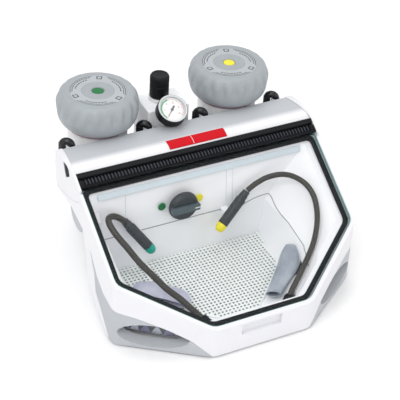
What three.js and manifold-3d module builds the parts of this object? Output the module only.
// Desktop sandblasting cabinet with two pressure tanks, in millimetres, +Z up.
// Everything is drawn in the hinge frame: its origin is the middle of the viewing window's top
// edge, X to the right, Y to the rear. The group then lifts and shifts it onto the floor.
import * as THREE from 'three';
import { mergeVertices } from 'three/addons/utils/BufferGeometryUtils.js';
import Module from 'manifold-3d';

const wasm = await Module();
wasm.setup();

// ---------------------------------------------------------------- driving dimensions
const deg = THREE.MathUtils.degToRad;
const SLOPE = deg(33.1);                        // the window falls this much towards the front
const WINDOW_HALF = 182;                        // half the window's width
const SIDE_LENGTH = 133.3;                      // down the slope to where the sides turn in
const FRONT_LENGTH = 224.6;                     // down the slope to the front edge
const FRONT_HALF = 73.8;                        // half the front edge's width
const RIM = 6.5;                                // housing outside the window outline
const WALL = 6;
const REAR_Y = 86;
const BASE_Z = -172.4;                          // underside of the housing
const FOOT = 3.6;
const FRONT_Y = -FRONT_LENGTH * Math.cos(SLOPE) - RIM;
const RECESS = { x: [-34, 28], z: [-147, -130], depth: 4.8 };  // finger hold in the front wall
const HOUSING_TOP = 6;                          // flat top of the housing, under the rear cover
const GAP = 0.3;                                // running and seating clearance
const HULL_CORNER = 9;                          // radius of the housing's upright corners
const BASE_RIM = 2.8;                           // notch for the base plate in the rear walls

const GLASS = 5;
const GASKET = 3.2;
const GASKET_WIDTH = 7;
const SEAT_N = -9;                              // depth of the window's seat under the glass top
const FLANGE_N = -13;
const STRIP_FROM = 6.5;                         // ribbed strip, up the slope from the window edge
const PIVOT_B = 15.5;                           // hinge line, up the slope
const STRIP_ROUND = 4.3;
const RAIL_FROM = 20.6;
const RAIL_TO = 28.6;
const STRIP_HALF = 184.4;
const END_PLATE_X = 185;

const PLATE_Z = -142.4;
const PLATE = 1.8;
const FLOOR_Z = -157;
const LINER = 2.5;

const TANK_X = 104.6;
const TANK_Y = 130.5;
const TANK_R = 43;
const TANK_FOOT_Z = -75;
const TANK_TOP_Z = 17;
const LID_LOW_Z = 22.5;
const LID_WIDE_Z = 53.5;
const LID_TOP_Z = 70.9;
const LID_LOW_R = 45.5;
const LID_WIDE_R = 59.1;
const LID_FLAT_R = 49.4;
const NECK_R = 38;
const MIXER_TOP_Z = -79.5;

const REAR_BOX = { frontHalf: 134, backHalf: 112, front: REAR_Y + GAP, back: 186 };
const HOSE_X = 59.5;                            // air hoses, to each side of a tank's axis
const HOSE_SHIFT = 4;                           // fittings sit a little to the right of centre
const HOSE_R = 5.5;
const AIR = { bend: 6.5, lean: deg(35), y: 94.5, z: 14 };
const SPIGOT_OUT = 20;

const sin = Math.sin(SLOPE);
const cos = Math.cos(SLOPE);
const FAR = 260;                                // outside the object on every side

// ---------------------------------------------------------------- materials
const paint = (color, roughness = 0.4, metalness = 0) =>
  new THREE.MeshStandardMaterial({ color, roughness, metalness });
const white = paint(0xf2f2f4, 0.35);
const grey = paint(0xc4c8d2, 0.5);
const lightGrey = paint(0xdcdfe6, 0.45);
const black = paint(0x15171b, 0.5);
const charcoal = paint(0x45484a, 0.6);
const steel = paint(0xb8bcc0, 0.3, 0.9);
const brass = paint(0xb59a5a, 0.35, 0.9);
const glass = new THREE.MeshStandardMaterial({
  color: 0xd6ece8, roughness: 0.05, transparent: true, opacity: 0.3,
});
const red = paint(0xd8202c, 0.4);
const teal = paint(0x16a08c, 0.4);
const yellow = paint(0xf2e21c, 0.4);
const lilac = paint(0xa6a8c4, 0.7);
const blueGrey = paint(0xa2b2c6, 0.7);
const rose = paint(0xc0a4ac, 0.7);
const diffuser = paint(0xc6d2d8, 0.4);

// ---------------------------------------------------------------- solids
function solid(geometry) {
  const bare = new THREE.BufferGeometry();
  bare.setAttribute('position', geometry.getAttribute('position').clone());
  if (geometry.index) bare.setIndex(geometry.index.clone());
  const merged = mergeVertices(bare, 1e-3);
  const xyz = merged.getAttribute('position').array;
  const index = merged.index.array;
  const triangles = [];
  let volume = 0;
  const [a, b, c] = [new THREE.Vector3(), new THREE.Vector3(), new THREE.Vector3()];
  for (let i = 0; i < index.length; i += 3) {
    const [p, q, r] = [index[i], index[i + 1], index[i + 2]];
    if (p === q || q === r || r === p) continue;
    triangles.push([p, q, r]);
    volume += a.fromArray(xyz, 3 * p).dot(b.fromArray(xyz, 3 * q).cross(c.fromArray(xyz, 3 * r)));
  }
  const ordered = volume < 0 ? triangles.map(([p, q, r]) => [p, r, q]) : triangles;
  return new wasm.Manifold(new wasm.Mesh({
    numProp: 3, vertProperties: new Float32Array(xyz), triVerts: new Uint32Array(ordered.flat()),
  }));
}

function geometryOf(manifold) {
  const mesh = manifold.getMesh();
  const geometry = new THREE.BufferGeometry();
  const xyz = new Float32Array(mesh.vertProperties);
  geometry.setAttribute('position', new THREE.BufferAttribute(xyz, 3));
  geometry.setIndex(Array.from(mesh.triVerts));
  geometry.computeVertexNormals();
  return geometry;
}

const basis = (x, y, z) => new THREE.Matrix4().makeBasis(
  new THREE.Vector3(...x), new THREE.Vector3(...y), new THREE.Vector3(...z));

function extruded(shape, low, high, frame) {
  const geometry = new THREE.ExtrudeGeometry(shape, {
    depth: high - low, bevelEnabled: false, curveSegments: 3,
  });
  geometry.translate(0, 0, low);
  if (frame) geometry.applyMatrix4(frame);
  return solid(geometry);
}

const outlineShape = (points) => new THREE.Shape(points.map(([x, y]) => new THREE.Vector2(x, y)));
const plan = (shape, z0, z1) => extruded(shape, z0, z1);
const SIDE_FRAME = basis([0, 1, 0], [0, 0, 1], [1, 0, 0]);
const SLOPE_FRAME = basis([1, 0, 0], [0, cos, sin], [0, -sin, cos]);
const across = (points, x0, x1) => extruded(outlineShape(points), x0, x1, SIDE_FRAME);
const onSlope = (shape, n0, n1) => extruded(shape, n0, n1, SLOPE_FRAME);
// a point given up the slope (b) and off the glass (n), as [y, z]
const slopePoint = (b, n) => [b * cos - n * sin, b * sin + n * cos];
const slopeProfile = (points, x0, x1) => across(points.map(([b, n]) => slopePoint(b, n)), x0, x1);

const box = (x0, x1, y0, y1, z0, z1) => solid(
  new THREE.BoxGeometry(x1 - x0, y1 - y0, z1 - z0)
    .translate((x0 + x1) / 2, (y0 + y1) / 2, (z0 + z1) / 2));

// [radius, z] profile turned about Z
function turned(profile, segments = 24) {
  const points = profile.map(([r, z]) => new THREE.Vector2(r, z));
  return solid(new THREE.LatheGeometry(points, segments).rotateX(Math.PI / 2));
}

function turnedRing(profile, segments = 24) {
  return turned([...profile, profile[0]], segments);
}

const rod = (radius, z0, z1, segments = 16) =>
  turned([[0, z0], [radius, z0], [radius, z1], [0, z1]], segments);

// moves a solid drawn along +Z so that it starts at a point and runs along a direction
function aim(manifold, from, direction) {
  const turn = new THREE.Quaternion().setFromUnitVectors(
    new THREE.Vector3(0, 0, 1), new THREE.Vector3(...direction).normalize());
  const matrix = new THREE.Matrix4().compose(
    new THREE.Vector3(...from), turn, new THREE.Vector3(1, 1, 1));
  return solid(geometryOf(manifold).applyMatrix4(matrix));
}

function offsetOutline(points, distance) {
  const count = points.length;
  const normal = ([x0, y0], [x1, y1]) => {
    const length = Math.hypot(x1 - x0, y1 - y0);
    return [(y1 - y0) / length, (x0 - x1) / length];
  };
  return points.map((point, i) => {
    const before = normal(points[(i + count - 1) % count], point);
    const after = normal(point, points[(i + 1) % count]);
    const scale = distance / (1 + before[0] * after[0] + before[1] * after[1]);
    return [point[0] + (before[0] + after[0]) * scale, point[1] + (before[1] + after[1]) * scale];
  });
}

function rounded(points, radius) {
  const shape = new THREE.Shape();
  const count = points.length;
  points.forEach((point, i) => {
    const corner = new THREE.Vector2(...point);
    const before = new THREE.Vector2(...points[(i + count - 1) % count]).sub(corner).normalize();
    const after = new THREE.Vector2(...points[(i + 1) % count]).sub(corner).normalize();
    const start = corner.clone().addScaledVector(before, radius);
    const end = corner.clone().addScaledVector(after, radius);
    if (i === 0) shape.moveTo(start.x, start.y);
    else shape.lineTo(start.x, start.y);
    shape.quadraticCurveTo(corner.x, corner.y, end.x, end.y);
  });
  shape.closePath();
  return shape;
}

// closed skin through rings that have the same number of points, capped at both ends
function loft(rings) {
  const size = rings[0].length;
  const points = rings.flat();
  const faces = [];
  for (let level = 0; level + 1 < rings.length; level += 1) {
    for (let i = 0; i < size; i += 1) {
      const a = level * size + i;
      const b = level * size + ((i + 1) % size);
      faces.push([a, b, b + size], [a, b + size, a + size]);
    }
  }
  const cap = (ring, level, flip) => {
    const middle = [0, 1, 2].map((k) => ring.reduce((sum, point) => sum + point[k], 0) / size);
    const centre = points.push(middle) - 1;
    for (let i = 0; i < size; i += 1) {
      const edge = [level * size + i, level * size + ((i + 1) % size)];
      faces.push(flip ? [edge[1], edge[0], centre] : [edge[0], edge[1], centre]);
    }
  };
  cap(rings[0], 0, true);
  cap(rings.at(-1), rings.length - 1, false);
  const geometry = new THREE.BufferGeometry();
  geometry.setAttribute('position', new THREE.Float32BufferAttribute(points.flat(), 3));
  geometry.setIndex(faces.flat());
  return solid(geometry);
}

function tube(points, radius, sides, steps) {
  const path = new THREE.CatmullRomCurve3(points.map((point) => new THREE.Vector3(...point)));
  const section = new THREE.Shape(Array.from({ length: sides }, (_, i) => {
    const turn = (2 * Math.PI * i) / sides;
    return new THREE.Vector2(radius * Math.cos(turn), radius * Math.sin(turn));
  }));
  return solid(new THREE.ExtrudeGeometry(section, { steps, extrudePath: path }));
}

const largest = (manifold) =>
  manifold.decompose().reduce((best, part) => (part.volume() > best.volume() ? part : best));
const mirror = (manifold) => solid(geometryOf(manifold).scale(-1, 1, 1));

// ---------------------------------------------------------------- scene
const cabinet = new THREE.Group();
function add(name, manifold, material, parent = cabinet) {
  const mesh = new THREE.Mesh(geometryOf(manifold), material);
  mesh.name = name;
  parent.add(mesh);
  return mesh;
}

// the window's hexagon seen square on, with its top edge at b = top
const windowPoints = (top) => [
  [WINDOW_HALF, top], [-WINDOW_HALF, top], [-WINDOW_HALF, -SIDE_LENGTH],
  [-FRONT_HALF, -FRONT_LENGTH], [FRONT_HALF, -FRONT_LENGTH], [WINDOW_HALF, -SIDE_LENGTH],
];
// the same hexagon from above, continued to the rear wall
const planPoints = (rear) => windowPoints(rear / cos).map(([x, b]) => [x, b * cos]);
const planOffset = (distance, rear) => offsetOutline(planPoints(rear - distance), distance);
// below the side bands the walls draw in towards the rear: right-hand half, rear to front
const LOWER_SIDE = [[138, REAR_Y], [153, 46], [164, 5], [173, -30], [182, -70]];
// lower edge of the full-width bands, as [y, z]
const BAND_EDGE = [
  [-91, BASE_Z], [-59, -149], [-34, -129], [-20, -75], [-10, -49], [31, -37], [110, -37],
];

// ---------------------------------------------------------------- housing
// facet: the left front wall that holds the arm opening; s runs along it from the side corner
const [FACET_A, FACET_B] = (() => {
  const corners = planOffset(RIM, REAR_Y);
  return [corners[2], corners[3]];
})();
const facetLength = Math.hypot(FACET_B[0] - FACET_A[0], FACET_B[1] - FACET_A[1]);
const facetAlong = [(FACET_B[0] - FACET_A[0]) / facetLength, (FACET_B[1] - FACET_A[1]) / facetLength];
const facetIn = [-facetAlong[1], facetAlong[0]];
const FACET_FRAME = (() => {
  const frame = basis([...facetAlong, 0], [0, 0, 1], [facetAlong[1], -facetAlong[0], 0]);
  return frame.setPosition(FACET_A[0], FACET_A[1], 0);
})();
// drawn in (s, z) and pushed inwards by depth
const facetPrism = (points, depth) => extruded(outlineShape(points), -depth, 5, FACET_FRAME);

// what lies deeper than this inside the outer walls
const core = (depth) => plan(rounded(planOffset(RIM - depth, REAR_Y), 4), BASE_Z - 10, 60)
  .intersect(bodyLimit(-depth));

const INSERT_DEPTH = 14;
const MOUTH = { s: 55, z: -150, half: 50, height: 17.5 };
const INSERT_TOP = [
  [-44, -70], [-32, -95.5], [-20, -109.5], [-5, -115], [33, -123], [75, -136], [107, -149.5], [133, -169],
];
const INSERT_LOW = [[136, BASE_Z], [-7, BASE_Z], [-8, -170], [-20, -147], [-33, -125], [-36, -98]];
const insertOutline = [...INSERT_TOP, ...INSERT_LOW];

// full width inside the bands, drawn-in width below them
function bodyLimit(distance) {
  const front = planOffset(RIM, REAR_Y);
  const left = LOWER_SIDE.map(([x, y]) => [-x, y]);
  const lower = [...left, ...front.slice(2), ...LOWER_SIDE.toReversed()];
  const [lowY, highY] = [BAND_EDGE[0][0], BAND_EDGE.at(-1)[0]];
  const bands = [[-FAR, -FAR], [lowY, -FAR], ...BAND_EDGE, [highY, 90], [-FAR, 90]];
  return plan(outlineShape(offsetOutline(lower, distance)), BASE_Z - 20, 70)
    .add(across(offsetOutline(bands, distance), -FAR, FAR));
}

// everything inside the outer surface, which stands this far outside the window's outline
function hullOuter(distance) {
  const [frontY, frontZ] = slopePoint(-FRONT_LENGTH - 30, 0);
  const [seatY, seatZ] = slopePoint(0, SEAT_N);
  const topB = (HOUSING_TOP - SEAT_N * cos) / sin;
  const [ledgeY] = slopePoint(topB, SEAT_N);
  const profile = [
    [frontY, BASE_Z], [REAR_Y + 20, BASE_Z], [REAR_Y + 20, HOUSING_TOP], [ledgeY, HOUSING_TOP],
    [seatY, seatZ], [0, 0], [frontY, frontZ],
  ];
  return plan(rounded(planOffset(distance, REAR_Y), HULL_CORNER), BASE_Z, 60)
    .intersect(across(profile, -FAR, FAR))
    .intersect(bodyLimit(distance - RIM));
}

// the hollow, open at the bottom, with a rear wall and a roof behind the window
function hullInner(distance) {
  const rear = REAR_Y - 4;
  const [frontY, frontZ] = slopePoint(-FRONT_LENGTH - 30, FLANGE_N);
  const roof = HOUSING_TOP - 4;
  const roofB = (roof - FLANGE_N * cos) / sin;
  const [ledgeY] = slopePoint(roofB, FLANGE_N);
  const profile = [
    [frontY, BASE_Z - 10], [rear, BASE_Z - 10], [rear, roof], [ledgeY, roof],
    [frontY, frontZ],
  ];
  return plan(rounded(planOffset(distance, REAR_Y), HULL_CORNER - 3), BASE_Z - 10, 60)
    .intersect(across(profile, -FAR, FAR))
    .intersect(bodyLimit(distance - RIM));
}

// arm passages: an oval swept from outside the facet to the chamber
const ARM_IN = [0.62, 0.66, 0.3];
const mouthCentre = [
  FACET_A[0] + facetAlong[0] * MOUTH.s, FACET_A[1] + facetAlong[1] * MOUTH.s, MOUTH.z,
];
function armPassage(half, height, reach) {
  const forward = new THREE.Vector3(...ARM_IN).normalize();
  const along = new THREE.Vector3(...facetAlong, 0);
  const up = new THREE.Vector3().crossVectors(forward, along).normalize();
  const ring = (distance) => Array.from({ length: 20 }, (_, i) => {
    const turn = (2 * Math.PI * i) / 20;
    return new THREE.Vector3(...mouthCentre)
      .addScaledVector(forward, distance)
      .addScaledVector(along, half * Math.cos(turn))
      .addScaledVector(up, height * Math.sin(turn))
      .toArray();
  });
  return loft([ring(-40), ring(reach)]);
}

const END_PLATE = [
  [2, -14], slopePoint(3, 4.5), slopePoint(27, 5), [36, 23], [52, 23.8], [68, 23],
  [84.5, 20.5], [84.5, -30], [62, -32], [22, -24],
];
// above the housing the plate grows thicker towards the rear, where the cover ends short of it
const cheek = (gap) => plan(outlineShape([
  [END_PLATE_X - gap, 28 - gap], [END_PLATE_X + 2, 28 - gap], [END_PLATE_X + 2, 84.5 + gap],
  [END_PLATE_X - 7 - gap, 84.5 + gap],
].toReversed()), HOUSING_TOP + GAP, 60);
const endPlateSolid = across(END_PLATE, END_PLATE_X, WINDOW_HALF + RIM)
  .add(across(END_PLATE, END_PLATE_X - 10, END_PLATE_X + 1).intersect(cheek(0)));
const endPlateRoom = across(offsetOutline(END_PLATE, -GAP), END_PLATE_X - GAP, WINDOW_HALF + RIM + 20);

// carrying grips: half moons that hang below the side bands
const GRIP = { from: -9, to: 31, drop: 15, inner: 168 };
const gripOutline = (() => {
  const edge = (y) => -50 + (12 / 41) * (y + 10);
  const arc = Array.from({ length: 9 }, (_, i) => {
    const t = i / 8;
    const y = GRIP.from + (GRIP.to - GRIP.from) * t;
    return [y, edge(y) - GRIP.drop * Math.sqrt(Math.max(0, 1 - (2 * t - 1) ** 2)) - 2];
  });
  return [...arc, [GRIP.to, edge(GRIP.to)], [GRIP.from, edge(GRIP.from)]];
})();
// the base plate runs under the rear walls through a notch
const baseNotch = (y0, y1) => box(-126, 126, y0, y1, BASE_Z - 5, BASE_Z + BASE_RIM);

// blade-shaped slot in the end plates, as [y, z]
const SLOT = [[57, 19], [45, 20.3], [37.5, 16.8], [33.8, 8], [47, -1.5], [50.4, 4.2], [53.4, 12]];

function buildHousing() {
  const opening = offsetOutline(windowPoints(GASKET_WIDTH), -GASKET_WIDTH);
  const seat = offsetOutline(windowPoints(0), 1.8).map(([x, b]) => [x, b > 0 ? 40 : b]);
  const recess = box(...RECESS.x, FRONT_Y - 5, FRONT_Y + RECESS.depth, ...RECESS.z);
  let shell = hullOuter(RIM)
    .subtract(hullInner(RIM - WALL))
    .subtract(onSlope(rounded(opening, 6), FLANGE_N - 6, 5))
    .subtract(onSlope(rounded(seat, 8), SEAT_N, 40))
    .subtract(endPlateRoom)
    .subtract(mirror(endPlateRoom))
    .subtract(recess);
  const room = facetPrism(offsetOutline(insertOutline.toReversed(), GAP), 90)
    .subtract(core(INSERT_DEPTH + GAP));
  shell = shell.subtract(room).subtract(mirror(room)).subtract(baseNotch(60, 120));
  add('housing', shell, white);
}

function buildInserts() {
  const left = facetPrism(insertOutline.toReversed(), 90)
    .intersect(hullOuter(RIM).subtract(core(INSERT_DEPTH)))
    .intersect(box(-FAR, -60, -FAR, 60, -FAR, 60))
    .subtract(armPassage(MOUTH.half, MOUTH.height, 60));
  add('arm_insert_left', left, grey);
  add('arm_insert_right', mirror(left), grey);
}

function buildBase() {
  const rear = REAR_BOX.back - 3.5;
  const sill = REAR_Y - WALL;
  const half = [
    [8 - REAR_BOX.backHalf, rear], [5 - REAR_BOX.backHalf, rear - 3], [-123, sill - 0.5],
    [-126, sill - 1], [-145, 46], [-156, 5], [-164, -30], [-166, -66], [-164.5, -88], [-68, -172],
    [-60, -184],
  ];
  const outline = [...half, ...half.toReversed().map(([x, y]) => [-x, y])];
  add('base_plate', plan(outlineShape(outline), BASE_Z, BASE_Z + 2.5), lightGrey);
  const feet = {
    front_left: [-60, -166], front_right: [60, -166], rear_left: [-94, 166], rear_right: [94, 166],
  };
  for (const [side, [x, y]] of Object.entries(feet)) {
    const foot = turned([
      [0, -FOOT], [9, -FOOT], [11, -FOOT + 1.4], [11, -GAP], [0, -GAP],
    ], 16);
    add(`foot_${side}`, foot, black).position.set(x, y, BASE_Z);
  }
}

// ---------------------------------------------------------------- working chamber
const wholeRing = (right, left) => [...right, ...left.toReversed()].reverse();
const openingHalf = (() => {
  const inside = offsetOutline(windowPoints(GASKET_WIDTH), -GASKET_WIDTH);
  const [side, front] = [inside[5], inside[4]];
  const toPlan = ([x, b]) => [x, slopePoint(b, FLANGE_N - GAP)[0]];
  const [top, corner, nose] = [[side[0], 0], side, front].map(toPlan);
  const middle = [(corner[0] + nose[0]) / 2, (corner[1] + nose[1]) / 2];
  return [top, [side[0], corner[1] / 2], corner, middle, nose];
})();
const SEAM_RIGHT = [[104, -2], [113, -50], [114, -100], [102, -138], [62, -171]];
const SEAM_LEFT = [[-152, -2], [-156, -50], [-156, -92], [-130, -131], [-88, -169]];
const PLATE_RIGHT = [[97, -4], [91, -50], [86, -90], [50, -124], [14, -158]];
const PLATE_LEFT = [[-146, -4], [-143, -50], [-134, -88], [-90, -124], [-46, -158]];
const plateRing = wholeRing(PLATE_RIGHT, PLATE_LEFT);
const flangeZ = (y, n) => (y + n * sin) * (sin / cos) + n * cos;
const seamZ = (y) => Math.min(-86 + 0.235 * y, flangeZ(y, FLANGE_N - GAP) - 4);

function chamberRings(grow, drop) {
  const rim = wholeRing(openingHalf, openingHalf.map(([x, y]) => [-x, y]));
  const level = (ring, height) => offsetOutline(ring, grow)
    .map(([x, y]) => [x, y, typeof height === 'function' ? height(y) : height]);
  const top = grow > 0 ? 0 : 8;
  return [
    level(rim, (y) => flangeZ(y, FLANGE_N - GAP) + top),
    level(wholeRing(SEAM_RIGHT, SEAM_LEFT), seamZ),
    level(plateRing, PLATE_Z - PLATE - GAP),
    level(offsetOutline(plateRing, -3), PLATE_Z - PLATE - GAP - drop),
    level(offsetOutline(plateRing, -8), FLOOR_Z - drop),
  ];
}

// a flattened tube through oval sections; along is the sections' long direction, rise the short one
function cuffSolid({ sections, along, rise }) {
  const rings = (grow, reach) => {
    const list = sections.map(({ at, half, height }) => Array.from({ length: 14 }, (_, i) => {
      const turn = (2 * Math.PI * i) / 14;
      const [run, up] = [(half + grow) * Math.cos(turn), (height + grow) * Math.sin(turn)];
      return at.map((value, k) => value + along[k] * run + rise[k] * up);
    }));
    const push = (ring, from) => ring.map((point, i) => point.map((v, k) => v + reach * (v - from[i][k])));
    if (reach === 0) return list;
    return [push(list[0], list[1]), ...list, push(list.at(-1), list.at(-2))];
  };
  return loft(rings(0, 0)).subtract(loft(rings(-2.5, 0.3)));
}

const CUFF_LEFT = {
  along: [0.73, -0.68, 0],
  rise: [0, 0, 1],
  sections: [
    { at: [-112.5, -104.5, -131], half: 38.5, height: 7 },
    { at: [-104, -89, -132], half: 43, height: 7 },
    { at: [-92.5, -73, -133.5], half: 35.5, height: 6.5 },
  ],
};
const CUFF_RIGHT = {
  along: [0.65, -0.69, 0.32],
  rise: [-0.26, 0.19, 0.95],
  sections: [
    { at: [35, -155.5, -128.5], half: 11, height: 6 },
    { at: [53, -139, -129], half: 13, height: 7 },
    { at: [81.6, -114.5, -123.4], half: 16.5, height: 8.5 },
    { at: [102, -86, -114.6], half: 12.5, height: 7 },
  ],
};

const HAND_R = 7.5;
const CLIP = { share: 0.42, half: 5 };          // handpiece rest on the rear wall
const hand = {
  left: { tip: [-88, -29, -107], grip: [-121.5, -9, -61], tipMaterial: teal },
  right: { tip: [15.5, -25, -104], grip: [63.5, -11, -62], tipMaterial: yellow },
};
const HOSES = {
  left: {
    radius: 4.5,
    points: [
      [-125.3, -8.6, -56.2], [-130, -8.4, -51.5], [-134.8, -8.4, -47.2], [-140.4, -9.4, -43.4],
      [-146, -11.5, -40.8], [-151, -15, -39.4], [-154.3, -20.5, -39.6], [-155, -28, -42.5],
      [-152.5, -37.5, -48.6], [-147.8, -47.5, -56], [-142, -58, -64], [-137.2, -66.6, -71.8],
      [-132, -75, -79.3], [-126.2, -83.6, -86], [-120, -92, -92.6], [-114, -100.5, -99.4],
      [-108, -109, -106], [-101.5, -116.6, -111.2], [-95, -124, -116], [-89.6, -131.4, -120.8],
      [-84.8, -138.4, -125.6], [-81.8, -142.6, -128.6], [-78.2, -147.4, -132], [-74.6, -152, -135.4],
    ],
  },
  right: {
    radius: 4,
    points: [
      [68.2, -10.4, -57.2], [74.5, -10, -53.2], [81, -10, -49.4], [88, -10.4, -46],
      [95, -11.4, -42.6], [102, -13, -40.3], [111, -15.4, -38.4], [120, -18.5, -37.8],
      [128.6, -22.6, -38.8], [136, -28, -41], [142.6, -34.6, -44.4], [147, -42, -48],
      [149.6, -50.6, -52.8], [150, -60, -58], [148.6, -69.2, -64.2], [145.6, -78.4, -70.4],
      [141.4, -87.4, -76.4], [136, -96, -82], [129.8, -104.2, -87.4], [123, -112, -93],
      [114.8, -119.8, -98.8], [106, -127, -104], [97.8, -133.6, -108.6], [89.5, -140.2, -112.8],
      [81, -146.8, -116.6], [73, -152.8, -119.8], [66, -158, -123], [61, -161.6, -126.4],
      [58.4, -163.4, -130],
    ],
  },
};
const GROMMET_LENGTH = 16;

function hoseEnd(side) {
  const points = HOSES[side].points.map((point) => new THREE.Vector3(...point));
  const end = points.at(-1);
  const direction = end.clone().sub(points.at(-2)).normalize();
  return { from: end.addScaledVector(direction, GAP).toArray(), direction: direction.toArray() };
}

function buildChamber() {
  const passage = armPassage(40, 13, 120);
  const shaft = aim(rod(4.6, -12, 30), [KNOB.x, 0, KNOB.z], [0, 1, 0]);
  let liner = loft(chamberRings(LINER, LINER)).subtract(loft(chamberRings(0, 0)));
  const passageZone = plan(outlineShape(offsetOutline(plateRing, 0.5)), -200, 0);
  const cut = passage.subtract(passageZone);
  liner = liner.subtract(cut).subtract(mirror(cut)).subtract(shaft);
  for (const side of ['left', 'right']) {
    const { from, direction } = hoseEnd(side);
    liner = liner.subtract(aim(rod(7.8, -14, GROMMET_LENGTH + 4), from, direction));
  }
  for (const { tip, grip } of Object.values(hand)) {
    const [x, y, z] = tip.map((value, k) => value + (grip[k] - value) * CLIP.share);
    const axis = grip.map((value, k) => value - tip[k]);
    const arm = box(x - CLIP.half, x + CLIP.half, y, -2, z - CLIP.half, z + CLIP.half);
    liner = liner.add(arm.subtract(aim(rod(HAND_R + GAP, -20, 100), tip, axis)));
  }
  liner = liner.subtract(hullOuter(RIM).subtract(hullInner(RIM - WALL - GAP)));
  add('chamber_liner', largest(liner), lightGrey);
  const plate = plan(outlineShape(offsetOutline(plateRing, -0.6)), PLATE_Z - PLATE, PLATE_Z);
  add('perforated_plate', plate, steel);
  const lamp = across([[1.2, -20.5], [5, -20.5], [5.8, -11.8], [4.2, -12.4]], -160, 160);
  add('lamp_diffuser', lamp, diffuser);
  add('cuff_left', cuffSolid(CUFF_LEFT), lilac);
  add('cuff_right', cuffSolid(CUFF_RIGHT), blueGrey);
}

function buildHandpieces() {
  for (const [side, { tip, grip, tipMaterial }] of Object.entries(hand)) {
    const back = new THREE.Vector3(...grip).sub(new THREE.Vector3(...tip));
    const length = back.length();
    const tail = new THREE.Vector3(...HOSES[side].points[0]).distanceTo(new THREE.Vector3(...tip)) - 1.6;
    const axis = back.normalize().toArray();
    const nozzle = turned([
      [0, 0], [3.4, 0], [6.4, 3], [HAND_R, 7.5], [HAND_R, 12], [0, 12],
    ], 16);
    const body = turned([
      [0, 12 + GAP], [HAND_R, 12 + GAP], [HAND_R, length - 2], [5.6, length], [5.6, tail], [0, tail],
    ], 16);
    add(`nozzle_tip_${side}`, aim(nozzle, tip, axis), tipMaterial);
    add(`handpiece_${side}`, aim(body, tip, axis), charcoal);
    const { radius, points } = HOSES[side];
    add(`hose_${side}`, tube(points, radius, 8, 18), charcoal);
    const { from, direction } = hoseEnd(side);
    const grommet = turned([
      [0, 0], [6, 0], [7.4, 1.2], [7.4, 4], [6, 5], [6, GROMMET_LENGTH], [0, GROMMET_LENGTH],
    ], 12);
    add(`hose_grommet_${side}`, aim(grommet, from, direction), black);
  }
}

// ---------------------------------------------------------------- selector
const KNOB = { x: -34.5, z: -55, r: 22, front: -18, back: -7.5 };
function buildSelector() {
  const skirt = aim(turned([
    [0, 0], [KNOB.r, 0], [KNOB.r, 5], [19, KNOB.back - KNOB.front - 2], [0, KNOB.back - KNOB.front - 2],
  ], 24), [KNOB.x, KNOB.back, KNOB.z], [0, -1, 0]);
  const bar = box(KNOB.x - 21, KNOB.x + 22, KNOB.front - 4, KNOB.front + 4, KNOB.z - 5.5, KNOB.z + 5.5);
  const shaft = aim(rod(4, 0, 26), [KNOB.x, KNOB.back - 1, KNOB.z], [0, 1, 0]);
  add('selector_knob', skirt.add(bar).add(shaft), charcoal);
  const valve = box(KNOB.x - 20, KNOB.x + 20, 12, 42, KNOB.z - 18, KNOB.z + 18)
    .subtract(aim(rod(4.4, -1, 12), [KNOB.x, 12, KNOB.z], [0, 1, 0]));
  add('selector_valve', valve, brass);
}

// ---------------------------------------------------------------- window
function buildWindow() {
  const pane = offsetOutline(windowPoints(9.5), 1);
  add('window_glass', onSlope(rounded(pane, 9), -GLASS, 0), glass);
  const outer = onSlope(rounded(windowPoints(STRIP_FROM - GAP), 8), -GLASS - GAP - GASKET, -GLASS - GAP);
  const inner = offsetOutline(windowPoints(GASKET_WIDTH), -GASKET_WIDTH);
  add('window_gasket', outer.subtract(onSlope(rounded(inner, 6), -40, 10)), black);
  const arc = Array.from({ length: 7 }, (_, i) => {
    const turn = Math.PI / 2 - (Math.PI * i) / 6;
    return [PIVOT_B + STRIP_ROUND * Math.cos(turn), STRIP_ROUND * Math.sin(turn)];
  });
  const strip = [
    [STRIP_FROM, -8.3], [STRIP_FROM, -GLASS - GAP], [10.5 + GAP, -GLASS - GAP], [10.5 + GAP, GAP],
    [STRIP_FROM, GAP], [STRIP_FROM, 3], [STRIP_FROM + 1.3, STRIP_ROUND], ...arc, [12, -8.3],
  ];
  const [pinY, pinZ] = slopePoint(PIVOT_B, 0);
  const pinHole = (from, to) => aim(rod(2.6, from, to, 12), [0, pinY, pinZ], [1, 0, 0]);
  let bar = slopeProfile(strip.toReversed(), -STRIP_HALF, STRIP_HALF);
  bar = bar.subtract(pinHole(177, 200)).subtract(pinHole(-200, -177));
  add('hinge_strip', bar, black);
  for (const [side, sign] of [['left', -1], ['right', 1]]) {
    const pin = aim(rod(2.3, 177.4, WINDOW_HALF + RIM - 1, 12), [0, pinY, pinZ], [sign, 0, 0]);
    add(`hinge_pin_${side}`, pin, steel);
    let plate = endPlateSolid.subtract(pinHole(180, WINDOW_HALF + RIM - 0.6));
    plate = plate.subtract(across(SLOT.toReversed(), END_PLATE_X + 1.2, 300));
    add(`end_plate_${side}`, sign < 0 ? mirror(plate) : plate, white);
  }
  const rail = [
    [RAIL_FROM, -8.6], [RAIL_FROM, 2.2], [RAIL_FROM + 1.5, 4.2], [RAIL_TO, 4.2], [RAIL_TO, -2.2],
  ];
  add('hinge_rail', slopeProfile(rail.toReversed(), -STRIP_HALF, STRIP_HALF), black);
}

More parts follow.
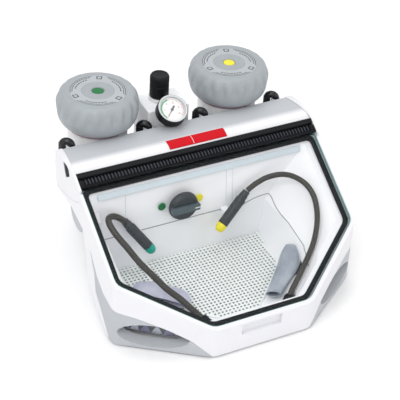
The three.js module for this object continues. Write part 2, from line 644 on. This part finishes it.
// ---------------------------------------------------------------- rear cover
const BADGE = { left: -40, right: 50 };
function buildCover() {
  const top = [
    [25.2, 16.2], [30, 19.4], [35, 21.4], [40, 22.2], [52, 22.6], [66, 21.8], [76, 20.8], [84, 19.5],
  ];
  const under = top.slice(1, -1).map(([y, z]) => [y, z - 3]).reverse();
  const sheet = [
    ...top, [84, HOUSING_TOP + GAP], [80.5, HOUSING_TOP + GAP], [80.5, 17], ...under,
    [28.5, 14.6], [28.5, HOUSING_TOP + GAP], [26.9, HOUSING_TOP + GAP],
  ];
  const cover = across(sheet.toReversed(), -STRIP_HALF, STRIP_HALF)
    .subtract(cheek(GAP)).subtract(mirror(cheek(GAP)));
  add('top_cover', cover, white);
  const lie = [[27, 17.4], [30, 19.4], [35, 21.4], [40, 22.2], [41.6, 22.25]];
  const raised = (height) => lie.map(([y, z]) => [y, z + height]);
  const badge = across([...raised(0.4), ...raised(1.3).reverse()], BADGE.left, BADGE.right);
  add('badge_plate', badge, red);
}

function buildGrips() {
  const outer = WINDOW_HALF + RIM;
  const right = across(gripOutline, GRIP.inner, outer).subtract(bodyLimit(GAP));
  add('side_grip_right', right, grey);
  add('side_grip_left', mirror(right), grey);
}

// ---------------------------------------------------------------- tanks
function lidProfile() {
  const curve = (fromZ, toZ, fromR, toR, power, count) => Array.from({ length: count }, (_, i) => {
    const t = i / (count - 1);
    const r = fromR + (toR - fromR) * (1 - (1 - t ** power) ** (1 / power));
    return [r, fromZ + (toZ - fromZ) * t];
  });
  const upper = curve(LID_WIDE_Z, LID_TOP_Z, LID_WIDE_R, LID_FLAT_R, 1.6, 5);
  const lower = curve(LID_WIDE_Z, LID_LOW_Z, LID_WIDE_R, LID_LOW_R, 2.2, 5).reverse();
  return [...lower.slice(0, -1), ...upper];
}

function buildTanks() {
  for (const [side, sign] of [['left', -1], ['right', 1]]) {
    const tank = new THREE.Group();
    tank.position.set(sign * TANK_X, TANK_Y, 0);
    cabinet.add(tank);
    const vessel = turned([
      [0, TANK_FOOT_Z], [36, TANK_FOOT_Z], [TANK_R, TANK_FOOT_Z + 6], [TANK_R, TANK_TOP_Z - 2],
      [TANK_R - 2, TANK_TOP_Z], [NECK_R, TANK_TOP_Z], [NECK_R, 36], [NECK_R - 3, 36],
      [NECK_R - 3, TANK_TOP_Z - 6], [TANK_R - 4, TANK_TOP_Z - 12], [TANK_R - 4, TANK_FOOT_Z + 22],
      [8, TANK_FOOT_Z + 5], [0, TANK_FOOT_Z + 5],
    ], 20);
    add(`tank_body_${side}`, vessel, white, tank);
    const seal = turnedRing([
      [NECK_R + 0.5, TANK_TOP_Z + GAP], [LID_LOW_R - 1, TANK_TOP_Z + GAP],
      [LID_LOW_R - 1, LID_LOW_Z - GAP], [NECK_R + 0.5, LID_LOW_Z - GAP],
    ], 20);
    add(`lid_seal_${side}`, seal, rose, tank);
    const lid = turned([
      [0, 62], [46, 62], [50, 54], [NECK_R + 1, 38], [NECK_R + 0.6, LID_LOW_Z], ...lidProfile(),
      [LID_FLAT_R - 1, LID_TOP_Z], [9, LID_TOP_Z], [8.7, LID_TOP_Z - 2], [0, LID_TOP_Z - 2],
    ], 24);
    add(`tank_lid_${side}`, lid, grey, tank);
    const mixer = turned([
      [0, -152], [16, -152], [20, -148], [20, -100], [12, -92], [12, MIXER_TOP_Z], [0, MIXER_TOP_Z],
    ], 16);
    add(`mixing_chamber_${side}`, mixer, brass, tank).position.x = -sign * 22;
    for (const [place, offset] of [['outer', sign * HOSE_X], ['inner', -sign * HOSE_X]]) {
      buildAirHose(`${side}_${place}`, sign * TANK_X + offset + HOSE_SHIFT, sign * TANK_X);
    }
  }
}

// up out of its fitting, over a half turn to the left and rear, down and into the tank's side
function buildAirHose(name, x, tankX) {
  const { bend, lean, y: front, z: top } = AIR;
  const along = [-Math.cos(lean), Math.sin(lean)];
  const arc = Array.from({ length: 7 }, (_, i) => {
    const turn = (Math.PI * i) / 6;
    const run = bend * (1 - Math.cos(turn));
    return [x + along[0] * run, front + along[1] * run, top + bend * Math.sin(turn)];
  });
  const [downX, downY] = arc.at(-1);
  const reach = Math.hypot(tankX - downX, TANK_Y - downY);
  const inward = [(tankX - downX) / reach, (TANK_Y - downY) / reach];
  const end = reach - TANK_R - GAP;
  const turnIn = [[0, -34], [0.08, -46], [0.36, -55], [0.7, -58.5], [1, -59]].map(([part, z]) => [
    downX + inward[0] * end * part, downY + inward[1] * end * part, z,
  ]);
  const hose = tube([[x, front, top - 5], ...arc, [downX, downY, -10], ...turnIn], HOSE_R, 8, 22);
  const fitting = turned([[0, -4], [6, -4], [7, -3], [7, 13], [6.3, 15], [0, 15]], 12);
  const post = solid(geometryOf(fitting).translate(x, front, 0));
  const spigot = aim(rod(5, 0, front - REAR_Y - GAP, 8), [x, front, 2], [0, -1, 0]);
  add(`air_hose_${name}`, hose.add(post).add(spigot), black);
}

// ---------------------------------------------------------------- rear housing and regulator
function buildRear() {
  const { frontHalf, backHalf, front, back } = REAR_BOX;
  const top = TANK_FOOT_Z - GAP;
  const corners = [[frontHalf, front], [backHalf, back], [-backHalf, back], [-frontHalf, front]];
  const outline = rounded(corners, 8);
  const inside = rounded(offsetOutline(corners, -3), 4);
  const spigotAt = [0, back, -120];
  let shell = plan(outline, BASE_Z, top).subtract(plan(inside, BASE_Z - 5, top - 3));
  shell = shell.subtract(baseNotch(front - 5, front + 8));
  shell = shell.subtract(aim(rod(17, -20, 20, 20), spigotAt, [0, 1, 0]));
  shell = shell.subtract(aim(rod(6.5, -20, 20, 12), [80, back, -140], [0, 1, 0]));
  add('rear_housing', shell, lightGrey);
  const spigot = turnedRing([
    [13.5, -14], [16.5, -14], [16.5, GAP], [22, GAP], [22, 3], [18, 3], [17, SPIGOT_OUT], [14.5, SPIGOT_OUT],
  ], 20);
  add('suction_spigot', aim(spigot, spigotAt, [0, 1, 0]), grey);
  const inlet = turned([
    [0, -12], [6, -12], [6, GAP], [9, GAP], [9, 6], [5, 6], [5, 12], [0, 12],
  ], 12);
  add('air_inlet', aim(inlet, [80, back, -140], [0, 1, 0]), brass);
  const manifold = box(-30, 30, front + 8, front + 34, BASE_Z + 20, BASE_Z + 56);
  add('air_manifold', manifold, steel);
}

const BLOCK = { x0: -38, x1: 27, y0: 102, y1: 150, z1: 35 };
const REG = { x: -10, y: 127 };
const GAUGE = { at: [-11, 80, 48], tilt: deg(57), r: 22, depth: 18 };
function buildRegulator() {
  const block = box(BLOCK.x0, BLOCK.x1, BLOCK.y0, BLOCK.y1, TANK_FOOT_Z, BLOCK.z1);
  const cap = turned([
    [0, BLOCK.z1 - 1], [17, BLOCK.z1 - 1], [17, 36.4], [13.5, 37.6], [0, 37.6],
  ], 20);
  const body = block.add(solid(geometryOf(cap).translate(REG.x, REG.y, 0)));
  add('regulator_body', body, lightGrey);
  const regulator = new THREE.Group();
  regulator.position.set(REG.x, REG.y, 0);
  cabinet.add(regulator);
  add('lock_ring', turned([[0, 38], [15.2, 38], [15.2, 42.6], [0, 42.6]], 24), steel, regulator);
  add('regulator_knob', turned([
    [0, 43], [13.4, 43], [14, 44], [14, 75], [12.4, 77.6], [0, 78],
  ], 24), black, regulator);
}

function buildGauge() {
  const gauge = new THREE.Group();
  gauge.position.set(...GAUGE.at);
  gauge.rotation.x = Math.PI / 2 - GAUGE.tilt;
  cabinet.add(gauge);
  const { r, depth } = GAUGE;
  const cup = turned([
    [0, -depth], [r - 3, -depth], [r, -depth + 3], [r, 0], [r - 2.2, 0], [r - 2.2, -5], [0, -5],
  ], 28);
  const stem = rod(6.5, -depth - 9, -depth + 1, 12);
  add('gauge_housing', cup.add(stem), black, gauge);
  add('gauge_dial', rod(r - 2.6, -5 + GAP, -3.9, 28), white, gauge);
  const needle = solid(new THREE.BoxGeometry(21, 1.6, 0.5).translate(3.5, 0, -3.2));
  const hub = rod(2.2, -3.55, -2.6, 12);
  const pointer = needle.add(hub);
  const swung = add('gauge_needle', pointer, black, gauge);
  swung.rotation.z = deg(225);
  add('gauge_lens', rod(r - 2.6, -1.9, -0.4, 28), glass, gauge);
}

buildHousing();
buildInserts();
buildBase();
buildChamber();
buildHandpieces();
buildSelector();
buildWindow();
buildCover();
buildGrips();
buildTanks();
buildRear();
buildRegulator();
buildGauge();

const frontMost = FRONT_Y;
const rearMost = REAR_BOX.back + SPIGOT_OUT;
cabinet.position.set(0, -(frontMost + rearMost) / 2, FOOT - BASE_Z);

export default cabinet;
